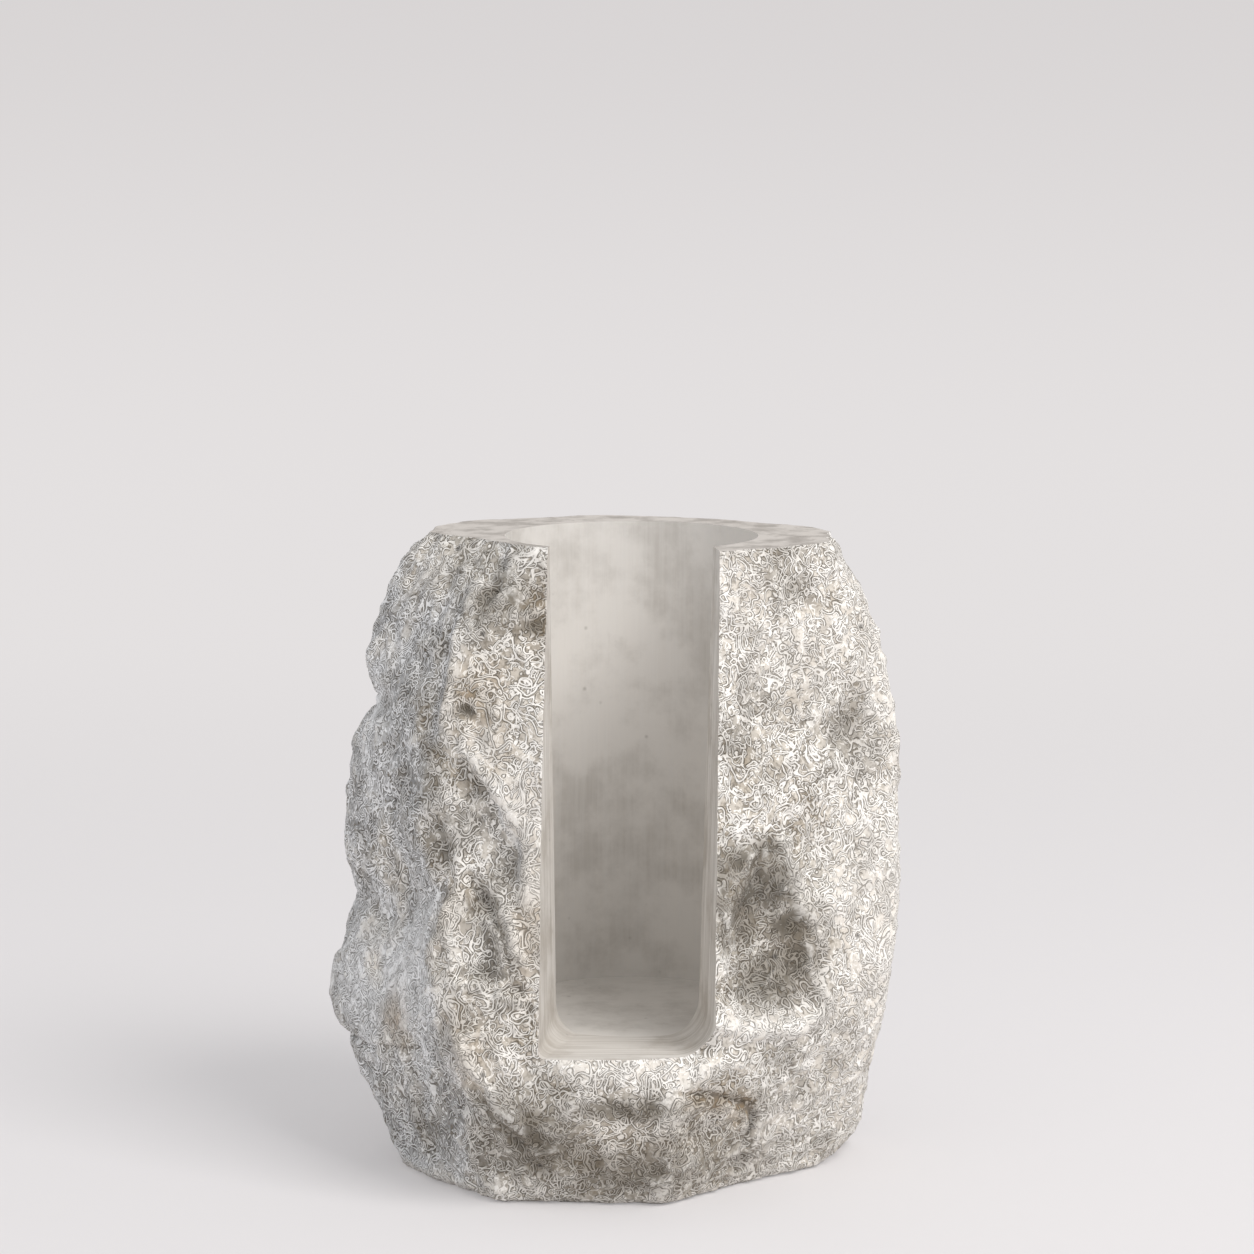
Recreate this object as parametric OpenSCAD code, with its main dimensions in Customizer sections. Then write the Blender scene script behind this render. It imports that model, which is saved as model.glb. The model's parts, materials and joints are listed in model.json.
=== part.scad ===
// Wine bottle holder: one rough block of pale stone, sawn flat at the top and
// at the base, with a cored bore for the bottle and a window cut through its
// front. The origin is on the base, on the axis of the bore. The window faces -Y.

/* [Block] */
// Width of the block, from side to side
block_w = 183; // [178:1:240]
// Depth of the block, from front to back
block_d = 151; // [147:1:200]
// Height of the block between its two sawn faces
block_h = 203; // [150:1:260]

/* [Bore] */
// Diameter of the cored bore that takes the bottle
bore_d = 81; // [60:0.5:84]
// Thickness of stone left under the bottle
floor_t = 49; // [20:1:80]

/* [Window] */
// Width of the window at the top, where it breaks into the bore
window_w = 51; // [30:0.5:56]
// Width of the window at its foot, where it breaks into the bore
window_foot_w = 44; // [26:0.5:50]
// How far the foot of the window drifts to the left
window_drift = 1.5; // [0:0.5:5]
// Angle by which each wall of the window opens towards the front
window_flare = 8; // [0:1:14]
// Radius of the two lower corners of the window, where it breaks into the bore
window_corner = 11; // [4:0.5:12]
// Radius to which the left one of them tightens at the front of the block
front_corner = 2; // [1:0.5:4]

/* [Rough skin] */
// Rounding of the ridges between two split faces
ridge_round = 1.3; // [0.5:0.1:5]
// Height of the broad swells that the splitting left
swell_h = 1.5; // [0:0.1:4]
// Distance from one broad swell to the next
swell_pitch = 27; // [15:1:60]
// Height of the small knocks between the swells
knock_h = 0.8; // [0:0.1:2.5]
// Distance from one small knock to the next
knock_pitch = 13; // [8:1:25]
// Number of columns of facets around the block
skin_columns = 112; // [60:4:120]
// Number of rows of facets up the block
skin_rows = 44; // [24:1:50]

/* [Hidden] */

stone_colour = [0.80, 0.79, 0.77];
bore_r = bore_d / 2;
// A cut runs this far past the face that it opens
past = 1;

// The rough skin is laid out in hundredths of the block's height, and is then
// stretched to the block's width and depth.
hundredth = block_h / 100;
// A bearing is 0 at the front, 90 at the right, 180 at the back, -90 at the left.
// The split faces: [bearing, reach from the bore's axis at the base, at the top]
SPLITS = [
    // The slab left of the window, and the shoulder above it
    [-10, 48, 18.5],
    [-12, 40, 21.5],
    [-49, 101, 21.5],
    [-52, 63, 25.5],
    // The long left face
    [-56, 43, 33.5],
    [-95, 81, 35],
    [-96, 155, 32.5],
    [-92, 50.5, 41.5],
    // The foot, which draws in towards the base
    [-88, 36, 83.5],
    [-50, 33.5, 59],
    [-3, 29, 67.5],
    [40, 25.5, 62.5],
    [82, 34.5, 55.5],
    [72, 30.5, 129],
    // The broad face right of the window, and the right side
    [12, 38.5, 26.5],
    [33, 38.5, 25.5],
    [56, 41.5, 40.5],
    [62, 63, 33],
    [80, 102.5, 31],
    [88, 41.5, 43.5],
    // The back
    [118, 43.5, 30.5],
    [140, 45.5, 27],
    [136, 29.5, 60],
    [165, 41.5, 26.5],
    [176, 30.5, 56],
    [200, 43.5, 29],
    [-127, 52, 33.5],
    [-140, 31.5, 59],
    [-112, 37.5, 70]
];
// The bites that broke out of those faces, and the lumps that stayed proud,
// where the depth is below zero. Each is a kite with four flat sides:
// [bearing, height, reach to the left, right, down and up, turn, depth]
BITES = [
    // The step below the slab, then the crease, the tongue and the shelf under it
    [-37, 53.5, 22, 5, 10, 26, 28, 4],
    [-38, 40, 7, 2.5, 10, 11, 20, 3.5],
    [-48, 38, 4, 5, 12, 14, 8, -1.4],
    [-36, 24.5, 8, 8.5, 15, 6, 0, -2.5],
    // The hollow behind the crest, right of the window
    [42, 46, 15, 4, 20, 10, 22, 3.5],
    [31, 32, 8, 16, 5, 25, -12, 4.5],
    // The ledge below the window, and the undercuts at the foot
    [6, 26.5, 19.5, 25.5, 11, 4, 0, 3.5],
    [-33, 7, 5.5, 4, 8, 11, 15, 2.5],
    [24, 12, 13, 4.5, 8, 6, 0, 3],
    // The broad face on the right, and the pit in the shoulder
    [42, 75, 15, 13, 11, 16.5, -35, 2],
    [71, 70.5, 9, 5, 8, 8, 0, 2.2],
    [-31, 90.5, 4.5, 4, 4.5, 4.5, 0, 2],
    // The notch, the waist, the hollow beside it and the crack down the left side
    [-95, 74, 13, 15, 7.5, 6, 0, 4.5],
    [-95, 40.5, 15, 16.5, 11, 12, 0, 4.5],
    [-71, 45, 14, 15, 19, 16, 0, 3.8],
    [-96, 19.5, 7, 11, 4, 1.5, 8, 1.5],
    // The back
    [150, 63, 15, 19.5, 16.5, 13, 20, 3.5],
    [205, 30.5, 19.5, 15, 12, 16.5, -15, 3.5],
    [118, 29.5, 11, 13, 15, 9, 12, 3],
    [-125, 59, 12, 11, 19.5, 11, -20, 3.5]
];
// Radius at which the width of a bite is laid out, as a share of the height
bite_radius_ratio = 0.37;
// The pattern of swells and knocks: any other number gives another stone
stone_seed = 13;
// A split face that turns away from a bearing, past this cosine, isn't met there
least_facing = 0.2;
out_of_reach = 500;
// Angle by which the columns of facets lean towards the front
lean_angle = 18;
// Number of sides of the bore, and of the rounded corners of the window
bore_sides = 96;
corner_sides = 32;
// Thickness of the two outlines that the window is drawn between
leaf = 0.01;

// A number between -1 and 1 that belongs to one corner of the noise lattice
function lattice(i, j, k) =
    let (s = sin(i * 127.1 + j * 311.7 + k * 74.7 + stone_seed * 53.3) * 43758.5)
    2 * (s - floor(s)) - 1;
function ease(t) = t * t * (3 - 2 * t);
function mix(a, b, t) = a + (b - a) * t;
function noise_row(i, j, k, t) = mix(lattice(i, j, k), lattice(i + 1, j, k), t);
function noise_sheet(i, j, k, t, u) =
    mix(noise_row(i, j, k, t), noise_row(i, j + 1, k, t), u);
// The lattice stands askew to the block, so that no row of it shows
LATTICE_TURN = [
    [0.36, 0.48, -0.80],
    [-0.80, 0.60, 0],
    [0.48, 0.64, 0.60]
];
// Smooth noise between -1 and 1 at a point in space
function noise(place) =
    let (
        p = LATTICE_TURN * place,
        i = floor(p.x), j = floor(p.y), k = floor(p.z),
        t = ease(p.x - i), u = ease(p.y - j), v = ease(p.z - k)
    )
    mix(noise_sheet(i, j, k, t, u), noise_sheet(i, j, k + 1, t, u), v);

// The turn from one bearing to another, between -180 and 180
function turn_between(a, b) = (a - b + 540) % 360 - 180;

// How far one split face lies from the axis along a bearing, at a height
function split_reach(f, bearing, z) =
    let (facing = cos(bearing - f[0]))
    facing < least_facing ? out_of_reach : mix(f[1], f[2], z / 100) / facing;

// What one bite takes from the reach
function bite_cut(b, bearing, z) =
    let (
        along = turn_between(bearing, b[0]) * PI / 180 * bite_radius_ratio * 100,
        up = z - b[1],
        u = along * cos(b[6]) + up * sin(b[6]),
        v = up * cos(b[6]) - along * sin(b[6]),
        across = u < 0 ? -u / b[2] : u / b[3],
        upright = v < 0 ? -v / b[4] : v / b[5]
    )
    b[7] * max(0, 1 - across - upright);

function sum(list) = list * [for (item = list) 1];

// The reach of the skin from the axis before its swells: the nearest split face,
// rounded into its neighbours, less the bites
function smooth_reach(bearing, z) =
    let (
        reaches = [for (f = SPLITS) split_reach(f, bearing, z)],
        nearest = min(reaches),
        rounding = ridge_round / hundredth
    )
    nearest - rounding * ln(sum([for (r = reaches) exp((nearest - r) / rounding)]))
        - sum([for (b = BITES) bite_cut(b, bearing, z)]);

function along_bearing(bearing, r, z) = [r * sin(bearing), -r * cos(bearing), z];

function rough_reach(bearing, z) =
    let (
        r = smooth_reach(bearing, z),
        p = along_bearing(bearing, r, z) * hundredth,
        swell = swell_h * noise(p / swell_pitch),
        knock = knock_h * (1 - 2 * abs(noise(p / knock_pitch)))
    )
    r + (swell + knock) / hundredth;

// The columns stand closer together at the worked front than at the back
function column_bearing(i) =
    let (turn = 360 * i / skin_columns)
    turn - lean_angle * sin(turn);

function span(values) = max(values) - min(values);

// The block before it is cut: a closed skin of facets between two sawn faces. Each
// patch is folded along the diagonal that lies nearer to the skin at its middle,
// which keeps the ridges and the creases crisp
module rough_block() {
    reaches = [
        for (j = [0:skin_rows], i = [0:skin_columns - 1])
            rough_reach(column_bearing(i), 100 * j / skin_rows)
    ];
    laid = [
        for (j = [0:skin_rows], i = [0:skin_columns - 1])
            along_bearing(column_bearing(i), reaches[j * skin_columns + i], 100 * j / skin_rows)
    ];
    widen = block_w / span([for (p = laid) p.x]);
    deepen = block_d / span([for (p = laid) p.y]);
    points = [for (p = laid) [p.x * widen, p.y * deepen, p.z * hundredth]];
    patches = [
        for (j = [0:skin_rows - 1], i = [0:skin_columns - 1])
            let (
                low = j * skin_columns + i,
                low_next = j * skin_columns + (i + 1) % skin_columns,
                high = low + skin_columns,
                high_next = low_next + skin_columns,
                middle = rough_reach(column_bearing(i + 0.5), 100 * (j + 0.5) / skin_rows),
                rise = (reaches[low] + reaches[high_next]) / 2 - middle,
                fall = (reaches[low_next] + reaches[high]) / 2 - middle,
                fold_up = abs(rise) < abs(fall)
            )
            each fold_up
                ? [[low, high_next, low_next], [low, high, high_next]]
                : [[low, high, low_next], [low_next, high, high_next]]
    ];
    base = [for (i = [0:skin_columns - 1]) i];
    top = [for (i = [skin_columns - 1:-1:0]) skin_rows * skin_columns + i];
    polyhedron(points, concat(patches, [base, top]), convexity = 8);
}

// The bottle stands in this bore, on its flat floor
module bottle_bore() {
    translate([0, 0, floor_t])
        cylinder(r = bore_r, h = block_h - floor_t + past, $fn = bore_sides);
}

// The outline of the window, which leans in towards its foot: seen from the
// front, with its foot at the level of the bore's floor
module window_outline(flare, left_corner) {
    foot = window_foot_w / 2 + flare;
    head = window_w / 2 + flare;
    rise = block_h - floor_t + past;
    hull() {
        for (corner = [[-1, left_corner], [1, window_corner]])
            translate([corner[0] * (foot - corner[1]) - window_drift, corner[1]])
                circle(r = corner[1], $fn = corner_sides);
        translate([-head, rise])
            square([2 * head, past]);
    }
}

// The window is cut from inside the bore out through the front of the block. Its
// lower corners are round, and the left one tightens on its way to the front
module front_window() {
    meets_bore = sqrt(bore_r * bore_r - window_w * window_w / 4);
    front = block_d / 2 - window_corner;
    CUTS = [
        [meets_bore * 2 / 3, window_corner],
        [front, front_corner],
        [block_d, front_corner]
    ];
    for (i = [0, 1])
        hull()
            for (cut = [CUTS[i], CUTS[i + 1]])
                translate([0, -cut[0], floor_t])
                    rotate([90, 0, 0])
                        linear_extrude(leaf)
                            window_outline((cut[0] - meets_bore) * tan(window_flare), cut[1]);
}

module stone_block() {
    color(stone_colour)
        difference() {
            rough_block();
            bottle_bore();
            front_window();
        }
}

stone_block();
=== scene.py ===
"""Looks of the stone wine bottle holder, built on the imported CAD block."""

import json
import math

import bpy
import numpy as np
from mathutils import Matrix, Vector


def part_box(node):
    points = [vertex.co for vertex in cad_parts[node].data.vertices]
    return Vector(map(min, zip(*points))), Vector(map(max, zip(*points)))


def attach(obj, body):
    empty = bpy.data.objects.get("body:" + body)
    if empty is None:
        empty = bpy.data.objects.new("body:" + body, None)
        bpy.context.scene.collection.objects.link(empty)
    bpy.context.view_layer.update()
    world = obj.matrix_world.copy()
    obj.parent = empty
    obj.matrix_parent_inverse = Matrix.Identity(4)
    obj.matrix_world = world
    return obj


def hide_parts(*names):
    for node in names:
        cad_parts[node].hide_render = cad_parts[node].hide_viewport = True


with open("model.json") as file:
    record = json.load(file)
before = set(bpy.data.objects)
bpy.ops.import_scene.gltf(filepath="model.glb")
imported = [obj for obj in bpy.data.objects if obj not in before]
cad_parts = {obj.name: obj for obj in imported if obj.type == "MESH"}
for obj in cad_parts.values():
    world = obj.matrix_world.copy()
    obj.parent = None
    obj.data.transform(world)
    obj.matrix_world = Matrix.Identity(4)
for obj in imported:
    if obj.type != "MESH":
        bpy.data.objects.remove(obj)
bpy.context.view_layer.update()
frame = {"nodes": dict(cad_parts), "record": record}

MM = 0.001

# The block as the CAD has it. A bearing is 0 at the front, 90 at the right,
# 180 at the back and -90 at the left, seen from the axis of the bore.
bore_mount = next(m for m in frame["record"]["mounts"] if m["name"] == "bottle_bore")
BORE_R = bore_mount["dims"]["r_mm"] * MM
BLOCK_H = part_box("stone_block")[1].z
FLOOR_Z = BLOCK_H - bore_mount["dims"]["length_mm"] * MM
WINDOW_W = 51 * MM
WINDOW_FOOT_W = 44 * MM
WINDOW_DRIFT = 1.5 * MM
WINDOW_FLARE = math.radians(8)
WINDOW_CORNER = 11 * MM
MEETS_BORE = math.sqrt(BORE_R ** 2 - WINDOW_W ** 2 / 4)
# The window's lower left corner closes to this at the front, sharper than in the CAD
FRONT_CORNER = 0.8 * MM
# The window's outline inside the bore and past the front: (reach from the axis,
# its left corner)
WINDOW_ENDS = [(MEETS_BORE * 2 / 3, WINDOW_CORNER), (76 * MM, FRONT_CORNER)]

# The sides of the circle of the bore, and of each round corner of the window
BORE_SIDES = 192
CORNER_SIDES = 48

# The rough skin is remade from cells of this size
CELL = 1.2 * MM
# The skin runs this far past the sawn faces until it is sawn
SPARE = 4 * MM
# The rims of the sawn faces are chipped over this height, in mm
RIM = 3
# The edge of the base is worn away up to this height, and back by this much at the
# floor
FOOT_GAP = 0.9 * MM
FOOT_SETBACK = 3 * MM
# The lines of the cracks waver in two waves, each up to this high in mm, and each
# 2 pi times as long as its value here
WAVER = 0.5
WAVE_UP = 3.1 * MM
WAVE_ACROSS = 2.3 * MM
# A crack narrows towards its bottom by this power
CRACK_POWER = 1.5
# The slope of a noise is taken over this distance
STRIDE = 0.2 * MM
# A point nearer than this to a level lies on it, and points of the CAD's mesh
# nearer than this to each other are merged
OVERLAP = 0.01 * MM
# The same, for the plane of a saw cut and for the points that the cuts leave
MERGED = 0.001 * MM
# Edges longer than this run across the flat cuts, not over the skin
LONG_EDGE = 3 * CELL
# How many times the skin is smoothed to find the way it faces, and its recesses
FACING_ROUNDS = 12
RECESS_ROUNDS = 24
# A place that lies this deep below the skin around it is a full recess
FULL_RECESS = 1.2 * MM
# The stone is warm at the front and on the right, cool and darker where it faces far
# to the left, and nearly so at the back: partly its own tone, and partly painted shade
# on the sides turned away from the lamp. The mask goes from none to full between these
# sideways parts of the way the skin faces, and between these backward parts of it,
# where it never falls below the least
WARMTH_AND_SHADE_ACROSS = (-0.76, -0.6)
WARMTH_AND_SHADE_BACK = (0.6, -0.2)
LEAST_WARMTH_AND_SHADE = 0.3

# The floor is a square of this size in metres, and sweeps up into a wall
FLOOR_SIZE = 6
WALL_H = 3
SWEEP_R = 1.5
SWEEP_SIDES = 24

# The camera: its distance and height in metres, the angles in degrees by which it
# looks down and to the left, and its lens and sensor in mm
CAMERA_AWAY = 1.15
CAMERA_H = 0.3335
CAMERA_DOWN = 7.93
CAMERA_LEFT = 0.0712
LENS = 103.98
SENSOR = 36

# Cracks and grooves, where the depth is above zero, and proud crests below it:
# (points as bearing and height in mm, reach to each side in mm, depth in mm)
SPLITS = [
    # The left side: the groove and the crest of the blunt ridge, and the crack
    ([(-54, 118), (-52, 108), (-51, 98), (-50, 90), (-48, 84), (-47, 76)], 5, 1.8),
    ([(-48, 104), (-48, 97), (-47, 90), (-46, 84), (-44, 74)], 3, -1.5),
    ([(-90, 41), (-81, 43), (-75, 41), (-67, 43), (-57, 46)], 2.5, 2.4),
    # The crease and the crest on the right of the tongue
    ([(-45, 101), (-43, 98), (-39, 93), (-34, 86), (-33, 80), (-32, 76)], 3.5, 2.4),
    ([(-41, 101), (-36, 95), (-32, 88), (-30, 80)], 4, -1.2),
    # The shelf under the tongue, and the edge of the lump under the shelf
    ([(-42, 70), (-38, 70), (-34, 68), (-29, 66)], 3.5, -1.4),
    ([(-42, 74), (-38, 74), (-32, 72), (-29, 69)], 4, 1.2),
    ([(-42, 64), (-42, 56), (-37, 48), (-33, 41), (-30, 33), (-27, 26)], 4, -1.4),
    ([(-45, 58), (-41, 47), (-36, 39), (-33, 31), (-29, 24), (-25, 12)], 5, 1.8),
    # The edge of the undercut in the lower front, and the crack below it
    ([(12, 39), (22, 36), (34, 30), (39, 25), (39, 19)], 2.5, 2.0),
    ([(39, 25), (39, 17), (39, 6)], 3, 1.4),
    # The crest beside the hollow, and the lip of the ledge under it
    ([(46, 112), (48, 100), (50, 92), (53, 84), (55, 79)], 4, -1.8),
    ([(22, 59), (30, 56), (43, 54), (52, 57)], 4, -1.6),
    # The holes in the slab and in the right shoulder
    ([(-54, 187), (-52, 190)], 4, 3.0),
    ([(-37, 179), (-36, 181)], 3, 1.5),
    ([(-51, 153), (-50, 153)], 2.5, 1.2),
    ([(61, 190), (64, 186)], 5, 1.5),
    # The edge of the slab, and the groove beside it
    ([(-60, 190), (-58, 184), (-60, 180), (-57, 171), (-55, 164)], 4, -1.4),
    ([(-55, 164), (-55, 149), (-51, 144), (-47, 138), (-42, 133), (-38, 127)], 4, -1.4),
    ([(-63, 176), (-60, 164), (-60, 148), (-55, 140), (-50, 134), (-44, 127), (-43, 116)], 6, 1.2),
    # The crest of the right shoulder
    ([(76, 203), (67, 192), (70, 179), (72, 169), (74, 158), (76, 150)], 5, -1.4),
    # The lip at the foot of the left side, and the upright ridge at the left edge
    ([(-73, 4), (-60, 3), (-47, 4)], 3, -1.5),
    ([(-90, 168), (-89, 150), (-84, 134)], 5, -1.2),
]

# Darker places, partly the stone's own stains and partly painted shade in the holes,
# in the hollow beside the right crest, in the creases and under the ledge of the lower
# front: (bearing, height in mm, reach across, reach up in mm, strength)
STAINS_AND_SHADE = [
    (-53, 187, 7, 5, 1.0),
    (-46, 186, 16, 12, 0.6),
    (-37, 179, 4, 3, 1.0),
    (-51, 153, 2.5, 2.5, 1.0),
    (-76, 194, 14, 12, 0.3),
    (50, 198, 8, 6, 0.5),
    (57, 190, 5, 4, 0.5),
    (71, 147, 9, 12, 0.55),
    (31, 108, 12, 6, 1.0),
    (40, 111, 8, 5, 1.0),
    (43, 99, 8, 11, 1.0),
    (35, 95, 12, 11, 1.0),
    (47, 86, 6, 9, 1.0),
    (35, 86, 10, 8, 0.7),
    (49, 75, 8, 9, 1.0),
    (41, 70, 14, 10, 1.0),
    (25, 100, 4, 12, 0.9),
    (26, 86, 5, 9, 0.7),
    (-58, 136, 8, 16, 0.5),
    (-56, 116, 8, 14, 0.4),
    (-35, 86, 5, 8, 0.8),
    (-38, 104, 5, 8, 0.5),
    (-42, 92, 7, 12, 0.5),
    (-38, 74, 9, 3, 0.5),
    (0, 34, 34, 5, 0.8),
    (4, 12, 46, 13, 0.75),
    (-24, 22, 18, 18, 0.9),
    (-58, 20, 16, 16, 0.5),
    (32, 14, 10, 16, 0.5),
    (38, 22, 3, 8, 0.8),
]
# Paler places, in the same form: partly paler stone, and partly painted light on the
# ledges and on the faces that the lamp lights, with painted highlights on the crests
# and on the lip at the foot
PALE_AND_LIT_PLACES = [
    (-70, 70, 40, 24, 1.0),
    (-86, 150, 6, 24, 0.8),
    (-84, 192, 8, 8, 0.8),
    (-60, 3, 20, 4, 1.0),
    (-34, 120, 14, 22, 1.0),
    (-45, 142, 10, 10, 0.8),
    (-27, 95, 5, 30, 0.8),
    (0, 46, 38, 5, 1.0),
    (36, 57, 28, 7, 1.0),
    (74, 75, 30, 55, 1.0),
    (80, 165, 16, 40, 0.9),
    (60, 168, 24, 24, 0.7),
    (38, 190, 14, 14, 0.7),
    (48, 18, 10, 24, 0.7),
    (60, 90, 8, 18, 0.9),
]
# Brown places, in the same form
RUST = [
    (-64, 54, 7, 8, 0.8),
    (-48, 92, 5, 8, 0.5),
    (-38, 50, 9, 14, 0.5),
    (17, 35, 8, 4, 1.0),
    (25, 33, 7, 5, 1.0),
    (33, 28, 5, 6, 1.0),
    (-26, 182, 14, 14, 0.5),
    (-48, 158, 8, 14, 0.5),
    (-28, 88, 6, 26, 0.5),
    (0, 22, 34, 14, 0.35),
    (48, 80, 6, 14, 0.4),
    (150, 120, 30, 20, 0.6),
    (-150, 60, 24, 18, 0.5),
]

# The threads of the split skin, from coarse to fine: (scale, wander in metres,
# levels, thickness in mm, shift of the pattern)
THREADS = [
    (180.0, 0.008, 5.5, 0.5, 0.0),
    (290.0, 0.005, 4.5, 0.44, 3.1),
    (430.0, 0.0034, 3.2, 0.34, 9.2),
]

# The smoothly cut finishes: what each group of nodes is given, then how the marks
# and the pits are laid over the stone
CORED = {
    "patches": {
        "Scale": 45.0, "Balance": 0.55,
        "Pale": (0.76, 0.73, 0.69, 1), "Dark": (0.60, 0.57, 0.53, 1),
    },
    "marks": {"Stretch": (1.0, 1.0, 0.04), "Scale": 650.0},
    "mark_colour": (0.76, 0.74, 0.71, 1), "mark_share": 0.35, "mark_height": 0.4,
    "pits": {"Scale": 200.0, "Size": 0.2, "Share": 0.88},
    "pit_colour": (0.28, 0.26, 0.23, 1), "pit_share": 0.5,
    "roughness": (0.65, 0.85), "gloss": 0.25,
}
CUT_LOOKS = {
    "sawn_stone": {
        "patches": {
            "Scale": 110.0, "Balance": 0.52,
            "Pale": (0.59, 0.55, 0.51, 1), "Dark": (0.36, 0.33, 0.30, 1),
        },
        "marks": {"Stretch": (0.08, 1.0, 1.0), "Scale": 700.0},
        "mark_colour": (0.66, 0.63, 0.59, 1), "mark_share": 0.25, "mark_height": 0.3,
        "pits": {"Scale": 260.0, "Size": 0.24, "Share": 0.72},
        "pit_colour": (0.24, 0.21, 0.18, 1), "pit_share": 0.6,
        "roughness": (0.75, 0.9), "gloss": 0.15,
    },
    "cored_stone": CORED,
    "slotted_stone": {
        **CORED,
        "patches": {**CORED["patches"], "Dark": (0.54, 0.50, 0.45, 1)},
        "marks": {"Stretch": (0.04, 1.0, 0.04), "Scale": 520.0},
        "mark_colour": (0.42, 0.38, 0.33, 1), "mark_share": 0.55,
    },
}


def select_only(*pieces):
    bpy.ops.object.select_all(action="DESELECT")
    for piece in pieces:
        piece.select_set(True)
    bpy.context.view_layer.objects.active = pieces[0]


def fix(piece, kind, **settings):
    """Puts a modifier on the piece and applies it."""
    select_only(piece)
    modifier = piece.modifiers.new(kind.lower(), kind)
    for name, value in settings.items():
        setattr(modifier, name, value)
    bpy.ops.object.modifier_apply(modifier=modifier.name)


def points_of(piece):
    points = np.zeros(len(piece.data.vertices) * 3)
    piece.data.vertices.foreach_get("co", points)
    return points.reshape(-1, 3)


def move_points(piece, points):
    piece.data.vertices.foreach_set("co", points.ravel())
    piece.data.update()


def bearings_of(points):
    return np.degrees(np.arctan2(points[:, 0], -points[:, 1]))


def turn_between(a, b):
    return (a - b + 540) % 360 - 180


def copy_of_block():
    """A merged copy of the CAD block. The CAD node's own mesh is left alone."""
    node = frame["nodes"]["stone_block"]
    block = bpy.data.objects.new("hewn_stone", node.data.copy())
    bpy.context.scene.collection.objects.link(block)
    block.data.materials.clear()
    select_only(block)
    bpy.ops.object.mode_set(mode="EDIT")
    bpy.ops.mesh.select_all(action="SELECT")
    bpy.ops.mesh.remove_doubles(threshold=OVERLAP)
    bpy.ops.object.mode_set(mode="OBJECT")
    return block


def start_edit(block, kind, chosen):
    """Opens the block in edit mode with only the chosen parts of it selected."""
    select_only(block)
    bpy.ops.object.mode_set(mode="EDIT")
    bpy.ops.mesh.select_mode(type=kind)
    bpy.ops.mesh.select_all(action="DESELECT")
    bpy.ops.object.mode_set(mode="OBJECT")
    mesh = block.data
    parts = {"FACE": mesh.polygons, "EDGE": mesh.edges, "VERT": mesh.vertices}[kind]
    parts.foreach_set("select", np.asarray(chosen, bool))
    bpy.ops.object.mode_set(mode="EDIT")


def end_edit():
    bpy.ops.object.mode_set(mode="OBJECT")


def strip_to_skin(block):
    """Leaves only the rough skin, whose faces all look away from the bore's axis."""
    least_outwards = 0.01
    others = []
    for face in block.data.polygons:
        outwards = Vector((face.center.x, face.center.y, 0)).normalized()
        others.append(face.normal.dot(outwards) < least_outwards)
    start_edit(block, "FACE", others)
    bpy.ops.mesh.delete(type="FACE")
    end_edit()


def open_edges(block):
    """The middle of each edge, and whether the skin ends there."""
    mesh = block.data
    loops = np.zeros(len(mesh.loops), np.int64)
    mesh.loops.foreach_get("edge_index", loops)
    faces = np.bincount(loops, minlength=len(mesh.edges))
    ends = np.zeros(len(mesh.edges) * 2, np.int64)
    mesh.edges.foreach_get("vertices", ends)
    middle = points_of(block)[ends.reshape(-1, 2)].mean(1)
    return middle, faces == 1


def close_skin(block):
    """Closes the window from side to side, draws the skin out past both sawn faces
    and closes it there, so that it can be sawn and cut clean again later."""
    middle, is_open = open_edges(block)
    above_foot = middle[:, 2] > FLOOR_Z + WINDOW_CORNER + MM
    below_top = middle[:, 2] < BLOCK_H - OVERLAP
    start_edit(block, "EDGE", is_open & above_foot & below_top)
    bpy.ops.mesh.bridge_edge_loops()
    end_edit()
    for level, way in ((BLOCK_H, 1), (0, -1)):
        middle, is_open = open_edges(block)
        start_edit(block, "EDGE", is_open & (np.abs(middle[:, 2] - level) < OVERLAP))
        bpy.ops.mesh.extrude_edges_move(TRANSFORM_OT_translate={"value": (0, 0, way * SPARE)})
        end_edit()
    start_edit(block, "FACE", np.ones(len(block.data.polygons)))
    bpy.ops.mesh.fill_holes(sides=0)
    bpy.ops.mesh.select_all(action="SELECT")
    bpy.ops.mesh.normals_make_consistent(inside=False)
    end_edit()


def bore_core():
    """The drill core that comes out of the bore."""
    top = BLOCK_H + SPARE
    bpy.ops.object.select_all(action="DESELECT")
    bpy.ops.mesh.primitive_cylinder_add(
        vertices=BORE_SIDES, radius=BORE_R, depth=top - FLOOR_Z,
        location=(0, 0, (top + FLOOR_Z) / 2),
    )
    core = bpy.context.active_object
    bpy.ops.object.transform_apply()
    return core


def window_outline(reach, left_corner):
    """The outline of the window at a reach from the axis, with round lower corners."""
    bpy.ops.object.select_all(action="DESELECT")
    bpy.ops.mesh.primitive_plane_add(size=1)
    outline = bpy.context.active_object
    flare = (reach - MEETS_BORE) * math.tan(WINDOW_FLARE)
    top = BLOCK_H + SPARE
    for point in outline.data.vertices:
        side = math.copysign(1, point.co.x)
        if point.co.y > 0:
            point.co = (side * (WINDOW_W / 2 + flare), -reach, top)
        else:
            point.co = (side * (WINDOW_FOOT_W / 2 + flare) - WINDOW_DRIFT, -reach, FLOOR_Z)
    for side, corner in ((-1, left_corner), (1, WINDOW_CORNER)):
        points = points_of(outline)
        at_foot = points[:, 2] < FLOOR_Z + OVERLAP
        start_edit(outline, "VERT", at_foot & (points[:, 0] * side > 0))
        bpy.ops.mesh.bevel(offset=corner, segments=CORNER_SIDES, affect="VERTICES")
        end_edit()
    return outline


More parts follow.
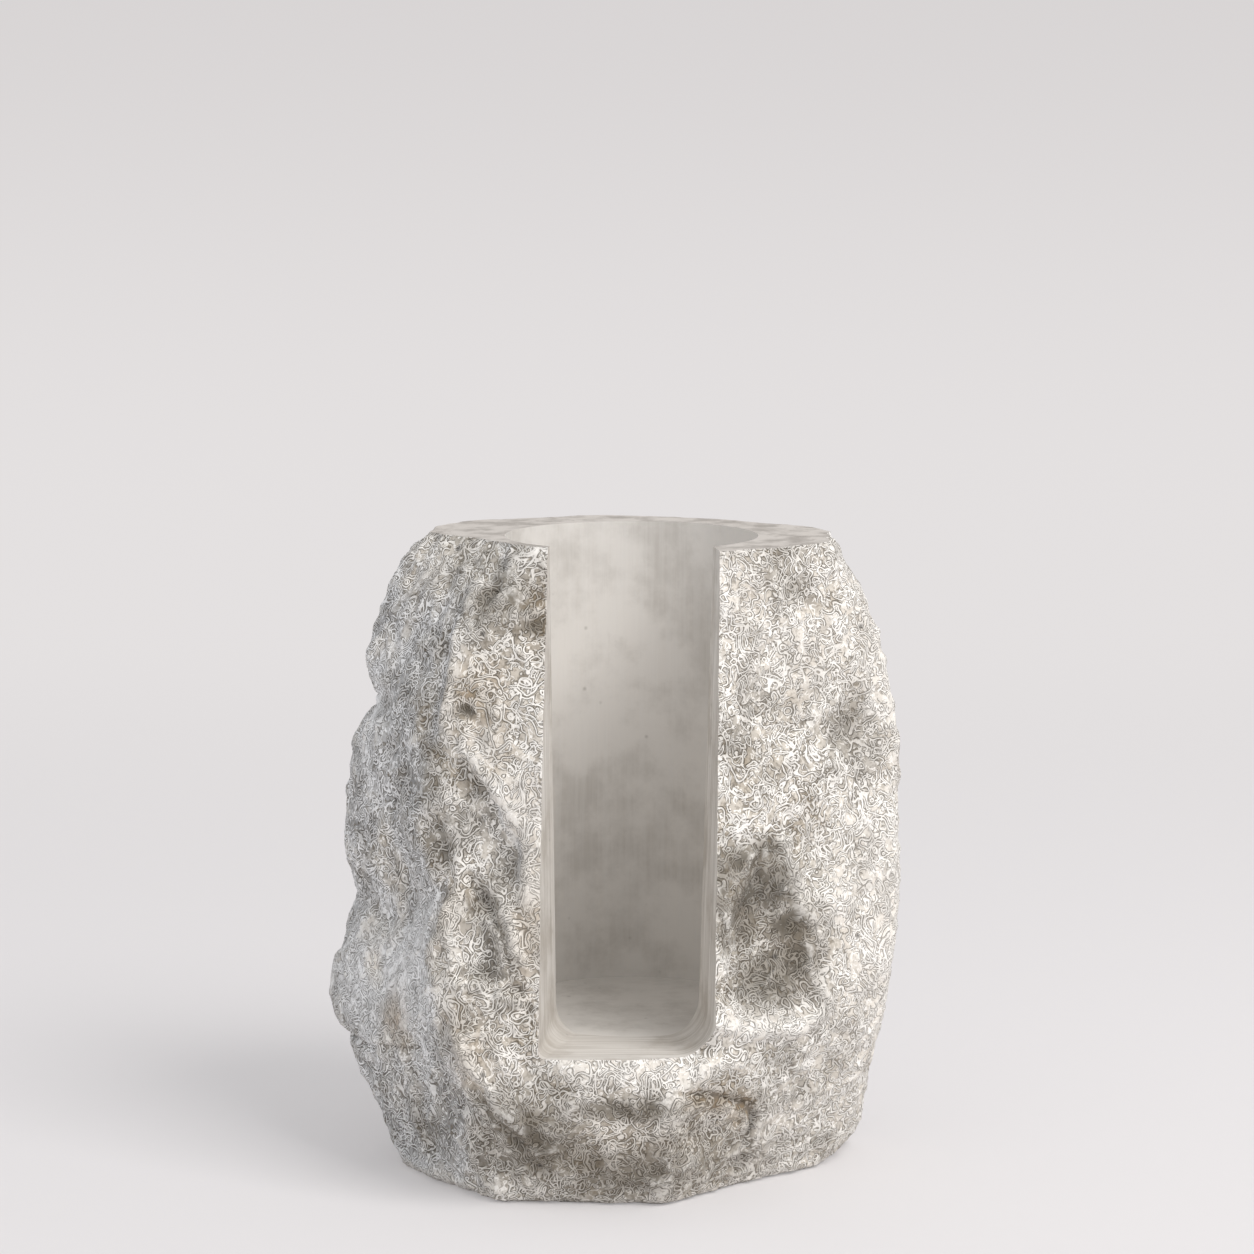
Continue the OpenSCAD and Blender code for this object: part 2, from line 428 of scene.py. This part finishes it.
def window_wedge():
    """The stone that comes out of the window."""
    wedge, front = (window_outline(*end) for end in WINDOW_ENDS)
    select_only(wedge, front)
    bpy.ops.object.join()
    bpy.ops.object.mode_set(mode="EDIT")
    bpy.ops.mesh.select_all(action="SELECT")
    bpy.ops.mesh.convex_hull()
    bpy.ops.mesh.normals_make_consistent(inside=False)
    end_edit()
    return wedge


def cut(block, tool, finish):
    """Cuts the tool's shape out of the block and gives the cut its finish."""
    tool.data.materials.append(finish)
    fix(
        block, "BOOLEAN", object=tool, operation="DIFFERENCE", solver="EXACT",
        material_mode="TRANSFER",
    )
    bpy.data.objects.remove(tool)


def relief(block, kind, grain, height, level, group="", **settings):
    """Raises the skin along its normals by a pattern of a given grain and height."""
    pattern = bpy.data.textures.new(kind.lower(), kind)
    pattern.noise_scale = grain
    for name, value in settings.items():
        setattr(pattern, name, value)
    fix(block, "DISPLACE", texture=pattern, strength=height, mid_level=level, vertex_group=group)


def normals_of(block):
    normals = np.zeros(len(block.data.vertices) * 3)
    block.data.vertices.foreach_get("normal", normals)
    return normals.reshape(-1, 3)


def distance_to_line(points, line):
    """How far each point of the skin is from a line drawn on it."""
    bearing = bearings_of(points)
    radius = np.hypot(points[:, 0], points[:, 1])
    nearest = np.full(len(points), 1.0)
    for (b0, h0), (b1, h1) in zip(line[:-1], line[1:]):
        across = np.radians(turn_between(bearing, b0)) * radius
        span = np.radians(turn_between(b1, b0)) * radius
        up = points[:, 2] - h0 * MM
        rise = (h1 - h0) * MM
        along = np.clip((across * span + up * rise) / (span ** 2 + rise ** 2), 0, 1)
        nearest = np.minimum(nearest, np.hypot(across - along * span, up - along * rise))
    return nearest


def cut_splits(block):
    """Cuts the cracks into the skin and raises the crests."""
    points = points_of(block)
    normals = normals_of(block)
    wander = np.sin(points[:, 2] / WAVE_UP) + np.sin(points[:, 0] / WAVE_ACROSS + 1)
    for line, reach, depth in SPLITS:
        distance = distance_to_line(points, line) + wander * WAVER * MM
        share = np.clip(1 - np.abs(distance) / (reach * MM), 0, 1)
        points -= normals * (share ** CRACK_POWER * depth * MM)[:, None]
    move_points(block, points)


def saw(block, level, way):
    """Saws the block flat at a level and closes the cut."""
    select_only(block)
    bpy.ops.object.mode_set(mode="EDIT")
    bpy.ops.mesh.select_all(action="SELECT")
    bpy.ops.mesh.bisect(
        plane_co=(0, 0, level), plane_no=(0, 0, way), use_fill=True, clear_outer=True,
        threshold=MERGED,
    )
    bpy.ops.object.mode_set(mode="OBJECT")


def rim_weights(points):
    """1 on the skin at the rims of the sawn faces, falling to 0 further away."""
    to_saw = np.minimum(np.abs(points[:, 2] - BLOCK_H), np.abs(points[:, 2]))
    return np.clip(1 - to_saw / (RIM * MM), 0, 1)


def chip_rims(block):
    """Chips the skin at the rims of the sawn faces."""
    rim = block.vertex_groups.new(name="rim")
    for index, weight in enumerate(rim_weights(points_of(block))):
        if weight > 0:
            rim.add([index], weight, "REPLACE")
    relief(block, "CLOUDS", grain=7 * MM, height=-1.6 * MM, level=0.35, group="rim")


def ease_foot(block):
    """Draws the skin in just above the floor, as the worn edge of the base."""
    points = points_of(block)
    share = np.clip(1 - points[:, 2] / FOOT_GAP, 0, 1)
    points[:, :2] -= normals_of(block)[:, :2] * (share * FOOT_SETBACK)[:, None]
    move_points(block, points)


def corners_of(block, name):
    """One value of each corner of the block's triangles, three to a row."""
    values = np.zeros(len(block.data.loops), np.int64)
    block.data.loops.foreach_get(name, values)
    return values.reshape(-1, 3)


def clear_cuts(block):
    """Splits all faces into triangles and takes out those that lie back to back with
    another, or hang on by one edge, as the cuts leave a few of them."""
    start_edit(block, "FACE", np.ones(len(block.data.polygons)))
    bpy.ops.mesh.remove_doubles(threshold=MERGED)
    bpy.ops.mesh.quads_convert_to_tris(quad_method="BEAUTY", ngon_method="BEAUTY")
    end_edit()
    points = np.sort(corners_of(block, "vertex_index"), axis=1)
    _, kind, count = np.unique(points, axis=0, return_inverse=True, return_counts=True)
    start_edit(block, "FACE", count[kind.ravel()] > 1)
    bpy.ops.mesh.delete(type="FACE")
    end_edit()
    _, is_open = open_edges(block)
    start_edit(block, "FACE", is_open[corners_of(block, "edge_index")].any(1))
    bpy.ops.mesh.delete(type="FACE")
    end_edit()


def hew_block(finishes):
    """The block, rough outside and cut as the CAD has it."""
    block = copy_of_block()
    strip_to_skin(block)
    close_skin(block)
    fix(block, "REMESH", mode="VOXEL", voxel_size=CELL)
    fix(block, "SMOOTH", factor=0.5, iterations=3)
    relief(block, "VORONOI", grain=15 * MM, height=1.1 * MM, level=0.45)
    relief(block, "VORONOI", grain=6 * MM, height=0.7 * MM, level=0.45)
    relief(
        block, "MUSGRAVE", grain=9 * MM, height=0.8 * MM, level=0.5,
        musgrave_type="RIDGED_MULTIFRACTAL",
    )
    cut_splits(block)
    relief(block, "CLOUDS", grain=4 * MM, height=0.9 * MM, level=0.5, noise_depth=1)
    chip_rims(block)
    ease_foot(block)
    block.data.materials.append(finishes["split_stone"])
    block.data.materials.append(finishes["sawn_stone"])
    saw(block, BLOCK_H, 1)
    saw(block, 0, -1)
    cut(block, window_wedge(), finishes["slotted_stone"])
    cut(block, bore_core(), finishes["cored_stone"])
    clear_cuts(block)
    return block


def shade_block(block):
    """Gives the sawn faces their finish, smooths only the split skin, and keeps the
    edges between two finishes crisp."""
    mesh = block.data
    count = len(mesh.polygons)
    finish = np.zeros(count, np.int32)
    mesh.polygons.foreach_get("material_index", finish)
    centres = np.zeros(count * 3)
    mesh.polygons.foreach_get("center", centres)
    level = centres.reshape(-1, 3)[:, 2]
    sawn = (np.abs(level) < OVERLAP) | (np.abs(level - BLOCK_H) < OVERLAP)
    finish[sawn] = 1
    mesh.polygons.foreach_set("material_index", finish)
    mesh.polygons.foreach_set("use_smooth", finish == 0)
    edges = corners_of(block, "edge_index")
    of_corner = np.broadcast_to(finish[:, None], edges.shape)
    least = np.full(len(mesh.edges), len(mesh.materials))
    most = np.full(len(mesh.edges), -1)
    np.minimum.at(least, edges, of_corner)
    np.maximum.at(most, edges, of_corner)
    mesh.edges.foreach_set("use_edge_sharp", least != most)


def place_masks(block, places):
    """One mask over the skin, made of soft spots."""
    points = points_of(block)
    bearing = bearings_of(points)
    radius = np.hypot(points[:, 0], points[:, 1])
    mask = np.zeros(len(points))
    for at, height, wide, tall, strength in places:
        across = np.radians(turn_between(bearing, at)) * radius / (wide * MM)
        up = (points[:, 2] - height * MM) / (tall * MM)
        mask = np.maximum(mask, strength * np.exp(-(across ** 2 + up ** 2)))
    return mask


def smoothed(block, values, rounds):
    """The values of the skin's points, each mixed with its neighbours many times. The
    long edges across the flat cuts are passed over."""
    points = points_of(block)
    edges = np.zeros(len(block.data.edges) * 2, np.int64)
    block.data.edges.foreach_get("vertices", edges)
    edges = edges.reshape(-1, 2)
    lengths = np.linalg.norm(points[edges[:, 0]] - points[edges[:, 1]], axis=1)
    edges = edges[lengths < LONG_EDGE]
    count = np.bincount(edges.ravel(), minlength=len(points)) + 1
    smooth = values.copy()
    for _ in range(rounds):
        total = smooth.copy()
        for axis in range(3):
            for here, there in ((0, 1), (1, 0)):
                total[:, axis] += np.bincount(
                    edges[:, here], smooth[edges[:, there], axis], len(points)
                )
        smooth = total / count[:, None]
    return smooth


def recess_of(block, rounds):
    """How deep each point of the skin lies below the skin around it."""
    points = points_of(block)
    return ((smoothed(block, points, rounds) - points) * normals_of(block)).sum(1)


def keep_mask(block, name, values):
    attribute = block.data.attributes.new(name, "FLOAT", "POINT")
    attribute.data.foreach_set("value", values.astype(np.float32))


def new_group(name, inputs, outputs):
    """A node group, its input and its output. Inputs and outputs are (name, kind)."""
    group = bpy.data.node_groups.new(name, "ShaderNodeTree")
    for way, sockets in (("INPUT", inputs), ("OUTPUT", outputs)):
        for label, kind in sockets:
            group.interface.new_socket(label, in_out=way, socket_type="NodeSocket" + kind)
    return group, group.nodes.new("NodeGroupInput"), group.nodes.new("NodeGroupOutput")


def join(tree, node, name, source):
    """Wires a socket into an input of the node, or writes a value there."""
    if isinstance(source, bpy.types.NodeSocket):
        tree.links.new(source, node.inputs[name])
    else:
        node.inputs[name].default_value = source


def put(tree, kind, wires, **settings):
    """Adds a node, sets it, and wires or fills its inputs."""
    node = tree.nodes.new(kind)
    for name, value in settings.items():
        setattr(node, name, value)
    for name, source in wires.items():
        join(tree, node, name, source)
    return node


def maths(tree, operation, a, b):
    return put(tree, "ShaderNodeMath", {0: a, 1: b}, operation=operation).outputs[0]


def times(tree, a, b):
    return maths(tree, "MULTIPLY", a, b)


def step(tree, value, low, high, start=0.0, end=1.0):
    """Goes smoothly from start to end while the value goes from low to high."""
    node = put(
        tree,
        "ShaderNodeMapRange",
        {"Value": value, "From Min": low, "From Max": high, "To Min": start, "To Max": end},
        interpolation_type="SMOOTHSTEP",
    )
    return node.outputs["Result"]


def tree_point(tree, parts):
    """The point whose three coordinates are the given values."""
    return put(tree, "ShaderNodeCombineXYZ", dict(enumerate(parts))).outputs[0]


def blend(tree, share, low, high):
    """The colour low where the share is 0, and high where it is 1."""
    node = put(tree, "ShaderNodeMix", {}, data_type="RGBA")
    for index, source in ((0, share), (6, low), (7, high)):
        join(tree, node, index, source)
    return node.outputs[2]


def coat(tree, under, colour, mask, share):
    """Lays a share of a colour over another where the mask is."""
    return blend(tree, times(tree, mask, share), under, colour)


def curl_group():
    """Curled lines of one thickness, like a mat of cut threads, and a narrow band beside
    them that is darkened as painted shadow: contours of a noise that is led astray by
    another, broken off into short lengths. The slope of the noise turns its levels into
    distances."""
    group, given, result = new_group(
        "curled_lines",
        [
            ("Vector", "Vector"), ("Scale", "Float"), ("Wander", "Float"),
            ("Levels", "Float"), ("Thickness", "Float"), ("Shift", "Float"),
        ],
        [("Lines", "Float"), ("Sides", "Float")],
    )
    scale = given.outputs["Scale"]
    levels = given.outputs["Levels"]
    thickness = given.outputs["Thickness"]

    def moved(vector, way):
        return put(group, "ShaderNodeVectorMath", {0: vector, 1: way}, operation="ADD").outputs[0]

    def noise(vector, size, output="Fac"):
        texture = put(
            group, "ShaderNodeTexNoise", {"Vector": vector, "Scale": size, "Detail": 0.0}
        )
        return texture.outputs[output]

    def field_at(point):
        centred = moved(noise(point, scale, "Color"), (-0.5, -0.5, -0.5))
        led = put(
            group, "ShaderNodeVectorMath", {0: centred, "Scale": given.outputs["Wander"]},
            operation="SCALE",
        ).outputs[0]
        return noise(moved(point, led), scale)

    place = moved(given.outputs["Vector"], given.outputs["Shift"])
    field = field_at(place)
    rises = tree_point(
        group,
        [
            maths(group, "SUBTRACT", field_at(moved(place, way)), field)
            for way in ((STRIDE, 0, 0), (0, STRIDE, 0), (0, 0, STRIDE))
        ],
    )
    slope = put(group, "ShaderNodeVectorMath", {0: rises}, operation="LENGTH").outputs["Value"]
    rise = times(group, slope, maths(group, "DIVIDE", levels, STRIDE))
    ring = maths(group, "PINGPONG", times(group, field, levels), 0.5)
    distance = maths(group, "DIVIDE", ring, maths(group, "ADD", rise, 1.0))
    edge = times(group, thickness, 0.6)
    core = times(group, thickness, 0.3)
    beside = times(group, thickness, 1.1)
    kept = step(group, noise(place, times(group, scale, 0.9)), 0.4, 0.47)
    steep = maths(group, "DIVIDE", slope, times(group, scale, STRIDE))
    kept = times(group, kept, step(group, steep, 0.1, 0.3))
    lines = times(group, step(group, distance, edge, core), kept)
    # The band beside each line, which the skin's finish darkens as painted shadow
    sides = times(group, step(group, distance, beside, edge), kept)
    group.links.new(lines, result.inputs["Lines"])
    group.links.new(sides, result.inputs["Sides"])
    return group


def patch_group():
    """Soft patches of a dark colour on a pale one."""
    group, given, result = new_group(
        "mottling",
        [
            ("Vector", "Vector"), ("Scale", "Float"), ("Pale", "Color"), ("Dark", "Color"),
            ("Balance", "Float"),
        ],
        [("Color", "Color"), ("Mask", "Float")],
    )
    field = put(
        group,
        "ShaderNodeTexNoise",
        {
            "Vector": given.outputs["Vector"],
            "Scale": given.outputs["Scale"],
            "Detail": 5.0,
            "Roughness": 0.62,
        },
    ).outputs["Fac"]
    softness = 0.13
    low = maths(group, "SUBTRACT", given.outputs["Balance"], softness)
    high = maths(group, "ADD", given.outputs["Balance"], softness)
    mask = step(group, field, low, high)
    colour = blend(group, mask, given.outputs["Pale"], given.outputs["Dark"])
    group.links.new(colour, result.inputs["Color"])
    group.links.new(mask, result.inputs["Mask"])
    return group


def pit_group():
    """Small round pits scattered over the stone."""
    group, given, result = new_group(
        "pits",
        [("Vector", "Vector"), ("Scale", "Float"), ("Size", "Float"), ("Share", "Float")],
        [("Pits", "Float")],
    )
    cells = put(
        group,
        "ShaderNodeTexVoronoi",
        {"Vector": given.outputs["Vector"], "Scale": given.outputs["Scale"]},
    )
    round_pit = put(
        group,
        "ShaderNodeMapRange",
        {"Value": cells.outputs["Distance"], "From Min": given.outputs["Size"], "From Max": 0.0},
        interpolation_type="SMOOTHSTEP",
    ).outputs["Result"]
    chance = put(group, "ShaderNodeSeparateColor", {0: cells.outputs["Color"]}).outputs[0]
    here = maths(group, "GREATER_THAN", chance, given.outputs["Share"])
    group.links.new(times(group, round_pit, here), result.inputs["Pits"])
    return group


def streak_group():
    """Fine streaks, left by a tool, along the directions in which Stretch is small."""
    group, given, result = new_group(
        "tool_streaks",
        [("Vector", "Vector"), ("Stretch", "Vector"), ("Scale", "Float")],
        [("Streaks", "Float")],
    )
    drawn = put(
        group,
        "ShaderNodeVectorMath",
        {0: given.outputs["Vector"], 1: given.outputs["Stretch"]},
        operation="MULTIPLY",
    ).outputs[0]
    field = put(
        group,
        "ShaderNodeTexNoise",
        {"Vector": drawn, "Scale": given.outputs["Scale"], "Detail": 3.0, "Roughness": 0.6},
    ).outputs["Fac"]
    group.links.new(step(group, field, 0.3, 0.7), result.inputs["Streaks"])
    return group


def new_finish(name):
    finish = bpy.data.materials.new(name)
    finish.use_nodes = True
    tree = finish.node_tree
    shader = tree.nodes["Principled BSDF"]
    place = tree.nodes.new("ShaderNodeTexCoord").outputs["Object"]
    return finish, tree, shader, place


def use(tree, group, **wires):
    return put(tree, "ShaderNodeGroup", wires, node_tree=group)


def mask_of(tree, name):
    return put(tree, "ShaderNodeAttribute", {}, attribute_name=name).outputs["Fac"]


def split_finish(curls, mottling, pits):
    """The rough skin: mottled stone, rusted and stained in places, under a mat of curled
    pale threads. Painted shade darkens the side turned away from the lamp, the
    recesses, the darker places along with their stains, and a band beside each thread.
    The paler places are partly paler stone and partly painted light, and the crests
    get a painted highlight."""
    finish, tree, shader, place = new_finish("split_stone")
    warmth_and_shade, stain_and_shade, rust, recess, pale_and_lit = (
        mask_of(tree, name) for name in ("warmth_and_shade", "stain_and_shade", "rust", "recess", "pale_and_lit")
    )
    tint = put(
        tree, "ShaderNodeTexNoise", {"Vector": place, "Scale": 32.0, "Detail": 2.0}
    ).outputs["Fac"]
    tint = step(tree, tint, 0.42, 0.58)
    dark = blend(tree, tint, (0.36, 0.295, 0.21, 1), (0.29, 0.27, 0.24, 1))
    # Painted shade in part: where the skin faces far to the left and to the back, away from the
    # lamp, its dark and pale are darker and cooler
    dark = blend(tree, warmth_and_shade, (0.27, 0.27, 0.27, 1), dark)
    pale = blend(tree, warmth_and_shade, (0.57, 0.567, 0.565, 1), (0.68, 0.63, 0.555, 1))
    patches = use(
        tree, mottling, Vector=place, Scale=80.0, Balance=0.52, Pale=pale, Dark=dark
    )
    dark_patch = patches.outputs["Mask"]

    # The paler places: partly paler stone, partly painted light and painted highlights
    pale_and_lit_colour = blend(tree, warmth_and_shade, (0.95, 0.95, 0.95, 1), (0.92, 0.87, 0.80, 1))
    ground = coat(tree, patches.outputs["Color"], pale_and_lit_colour, pale_and_lit, 0.92)
    ground = coat(tree, ground, (0.33, 0.22, 0.11, 1), rust, 0.85)
    # Painted shade: the ground darkens where the skin lies in a recess
    painted_shade_in_recesses = step(tree, recess, 0.1, 0.9)
    ground = coat(tree, ground, (0.24, 0.22, 0.195, 1), painted_shade_in_recesses, 0.6)
    # The darker places: partly the stone's own stains, partly painted shade in the holes, the
    # hollow, the creases and under the ledge
    ground = coat(tree, ground, (0.10, 0.088, 0.068, 1), stain_and_shade, 0.9)
    # Painted highlight: the ground pales on the crests that stand proud of the skin
    painted_highlight_on_crests = step(tree, recess, -0.1, -0.7)
    ground = coat(tree, ground, (0.92, 0.89, 0.84, 1), painted_highlight_on_crests, 0.55)

    coarse, middling, small = (
        use(
            tree, curls, Vector=place, Scale=scale, Wander=wander, Levels=levels,
            Thickness=thickness * MM, Shift=shift,
        ).outputs
        for scale, wander, levels, thickness, shift in THREADS
    )
    raised = maths(tree, "MAXIMUM", coarse["Lines"], middling["Lines"])
    mat = maths(tree, "MAXIMUM", raised, small["Lines"])
    # Painted shadow beside the coarse and middling threads
    thread_shadows = maths(tree, "MAXIMUM", coarse["Sides"], middling["Sides"])
    fine = put(
        tree, "ShaderNodeTexNoise", {"Vector": place, "Scale": 900.0, "Detail": 4.0}
    ).outputs["Fac"]

    # Specks and the painted thread shadow are fewer in the paler places, which are partly painted
    # light
    less_where_pale_and_lit = step(tree, pale_and_lit, 0.0, 1.0, 1.0, 0.5)
    specks = step(tree, fine, 0.5, 0.62, 0.0, 0.45)
    ground = coat(tree, ground, (0.18, 0.15, 0.11, 1), specks, less_where_pale_and_lit)
    # Painted shadow: a dark band beside the threads, laid on more thickly in the dark patches
    denser = times(tree, step(tree, dark_patch, 0.0, 1.0, 0.5, 0.75), less_where_pale_and_lit)
    ground = coat(tree, ground, (0.18, 0.145, 0.10, 1), thread_shadows, denser)

    # The threads fade where the rust and the darker places lie, which are partly painted shade
    hidden_by_stain_shade_and_rust = maths(tree, "MAXIMUM", stain_and_shade, times(tree, rust, 0.6))
    shown = times(tree, mat, step(tree, hidden_by_stain_shade_and_rust, 0.0, 0.9, 1.0, 0.2))
    thinned = step(tree, dark_patch, 0.0, 1.0, 1.0, 0.6)
    thread = blend(tree, warmth_and_shade, (0.96, 0.96, 0.96, 1), (0.99, 0.96, 0.91, 1))
    thread = coat(tree, thread, (0.80, 0.66, 0.48, 1), rust, 0.5)
    lined = coat(tree, ground, thread, shown, thinned)
    holes = use(tree, pits, Vector=place, Scale=110.0, Size=0.16, Share=0.82).outputs["Pits"]
    pitted = blend(tree, holes, lined, (0.10, 0.09, 0.08, 1))

    height = maths(tree, "ADD", times(tree, fine, 0.35), raised)
    height = maths(tree, "SUBTRACT", height, maths(tree, "ADD", holes, thread_shadows))
    rough = step(tree, fine, 0.2, 0.8, 0.78, 0.95)
    finish_shader(tree, shader, pitted, height, 1.0, 0.5 * MM, rough, 0.35)
    return finish


def finish_shader(tree, shader, colour, height, strength, depth, rough, gloss):
    """Wires a finish's colour, bump and roughness, and sets its gloss."""
    bump = put(
        tree, "ShaderNodeBump", {"Height": height, "Strength": strength, "Distance": depth}
    )
    tree.links.new(colour, shader.inputs["Base Color"])
    tree.links.new(bump.outputs["Normal"], shader.inputs["Normal"])
    tree.links.new(rough, shader.inputs["Roughness"])
    shader.inputs["Specular IOR Level"].default_value = gloss


def cut_finish(name, streaks, mottling, pits):
    """Smoothly cut stone with the marks of its tool."""
    look = CUT_LOOKS[name]
    finish, tree, shader, place = new_finish(name)
    body = use(tree, mottling, Vector=place, **look["patches"]).outputs["Color"]
    marks = use(tree, streaks, Vector=place, **look["marks"]).outputs["Streaks"]
    holes = use(tree, pits, Vector=place, **look["pits"]).outputs["Pits"]
    marked = coat(tree, body, look["mark_colour"], marks, look["mark_share"])
    pitted = coat(tree, marked, look["pit_colour"], holes, look["pit_share"])
    height = maths(tree, "SUBTRACT", times(tree, marks, look["mark_height"]), holes)
    rough = step(tree, marks, 0.0, 1.0, *look["roughness"])
    finish_shader(tree, shader, pitted, height, 0.5, 0.15 * MM, rough, look["gloss"])
    return finish


def ramp(values, start, full, least=0.0):
    """Rises from 0 at the start to 1 where it is full, but never below the least."""
    return np.clip((values - start) / (full - start), least, 1)


def dress_stone():
    """Makes the stone with its finishes and masks, and puts it in the CAD's place."""
    curls = curl_group()
    mottling = patch_group()
    pits = pit_group()
    streaks = streak_group()
    finishes = {name: cut_finish(name, streaks, mottling, pits) for name in CUT_LOOKS}
    finishes["split_stone"] = split_finish(curls, mottling, pits)
    block = hew_block(finishes)
    shade_block(block)
    facing = smoothed(block, normals_of(block), FACING_ROUNDS)
    # The darker places are partly painted shade, and the paler places partly painted light
    for name, places in (("stain_and_shade", STAINS_AND_SHADE), ("pale_and_lit", PALE_AND_LIT_PLACES), ("rust", RUST)):
        keep_mask(block, name, place_masks(block, places))
    keep_mask(block, "recess", recess_of(block, RECESS_ROUNDS) / FULL_RECESS)
    # Cooler and darker where the skin faces away from the lamp: partly the stone's own tone,
    # partly painted shade
    warmth_and_shade = ramp(facing[:, 0], *WARMTH_AND_SHADE_ACROSS) * ramp(facing[:, 1], *WARMTH_AND_SHADE_BACK, LEAST_WARMTH_AND_SHADE)
    keep_mask(block, "warmth_and_shade", warmth_and_shade)
    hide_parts("stone_block")
    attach(block, "root")


def studio_floor():
    """A pale table that sweeps up into the backdrop behind the stone."""
    bpy.ops.object.select_all(action="DESELECT")
    bpy.ops.mesh.primitive_plane_add(size=FLOOR_SIZE, location=(0, 0, 0))
    floor = bpy.context.active_object
    floor.name = "studio_floor"
    near_back = FLOOR_SIZE / 2 - 0.1
    near_floor = 0.1
    middle, _ = open_edges(floor)
    start_edit(floor, "EDGE", middle[:, 1] > near_back)
    bpy.ops.mesh.extrude_edges_move(TRANSFORM_OT_translate={"value": (0, 0, WALL_H)})
    end_edit()
    middle, _ = open_edges(floor)
    start_edit(floor, "EDGE", (middle[:, 1] > near_back) & (middle[:, 2] < near_floor))
    bpy.ops.mesh.bevel(offset=SWEEP_R, segments=SWEEP_SIDES, affect="EDGES")
    end_edit()
    bpy.ops.object.shade_smooth()
    finish, tree, shader, place = new_finish("pale_floor")
    shader.inputs["Base Color"].default_value = (0.80, 0.78, 0.785, 1)
    shader.inputs["Roughness"].default_value = 0.9
    shader.inputs["Specular IOR Level"].default_value = 0.1
    spot = put(tree, "ShaderNodeSeparateXYZ", {0: place})
    far = step(tree, spot.outputs["Y"], 0.1, 1.2, 0.35, 1.0)
    seen = tree.nodes.new("ShaderNodeLightPath").outputs["Is Camera Ray"]
    share = times(tree, far, seen)
    high = step(tree, spot.outputs["Z"], 0.0, 0.5)
    tone = blend(tree, high, (0.775, 0.75, 0.75, 1), (0.69, 0.665, 0.665, 1))
    glow = put(tree, "ShaderNodeEmission", {"Color": tone, "Strength": 1.0})
    mixed = put(tree, "ShaderNodeMixShader", {0: share, 1: shader.outputs[0], 2: glow.outputs[0]})
    tree.links.new(mixed.outputs[0], tree.nodes["Material Output"].inputs["Surface"])
    floor.data.materials.append(finish)


def soft_lamp(name, place, target, size, power, colour):
    """A square lamp that faces its target."""
    lamp = bpy.data.lights.new(name, "AREA")
    lamp.size = size
    lamp.energy = power
    lamp.color = colour
    holder = bpy.data.objects.new(name, lamp)
    bpy.context.scene.collection.objects.link(holder)
    holder.location = place
    aim = Vector(target) - Vector(place)
    holder.rotation_euler = aim.to_track_quat("-Z", "Y").to_euler()


def studio_light():
    """Even light from all around, and one soft lamp from the right."""
    world = bpy.data.worlds.new("studio")
    bpy.context.scene.world = world
    world.use_nodes = True
    backdrop = world.node_tree.nodes["Background"]
    backdrop.inputs["Color"].default_value = (0.97, 0.98, 1.0, 1)
    backdrop.inputs["Strength"].default_value = 0.64
    soft_lamp(
        "key_lamp", place=(1.15, -1.0, 1.8), target=(0, 0, 0.1), size=1.2, power=34,
        colour=(1.0, 0.98, 0.96),
    )


def camera():
    """Stands where the photograph was taken from, a little above the stone, with the
    bore's axis just right of the middle."""
    lens = bpy.data.cameras.new("camera")
    lens.sensor_width = SENSOR
    lens.lens = LENS
    lens.clip_end = 50
    stand = bpy.data.objects.new("camera", lens)
    bpy.context.scene.collection.objects.link(stand)
    stand.location = (0, -CAMERA_AWAY, CAMERA_H)
    stand.rotation_euler = (math.radians(90 - CAMERA_DOWN), 0, math.radians(CAMERA_LEFT))
    bpy.context.scene.camera = stand


dress_stone()
studio_floor()
studio_light()
camera()
bpy.context.scene.view_settings.view_transform = "Standard"
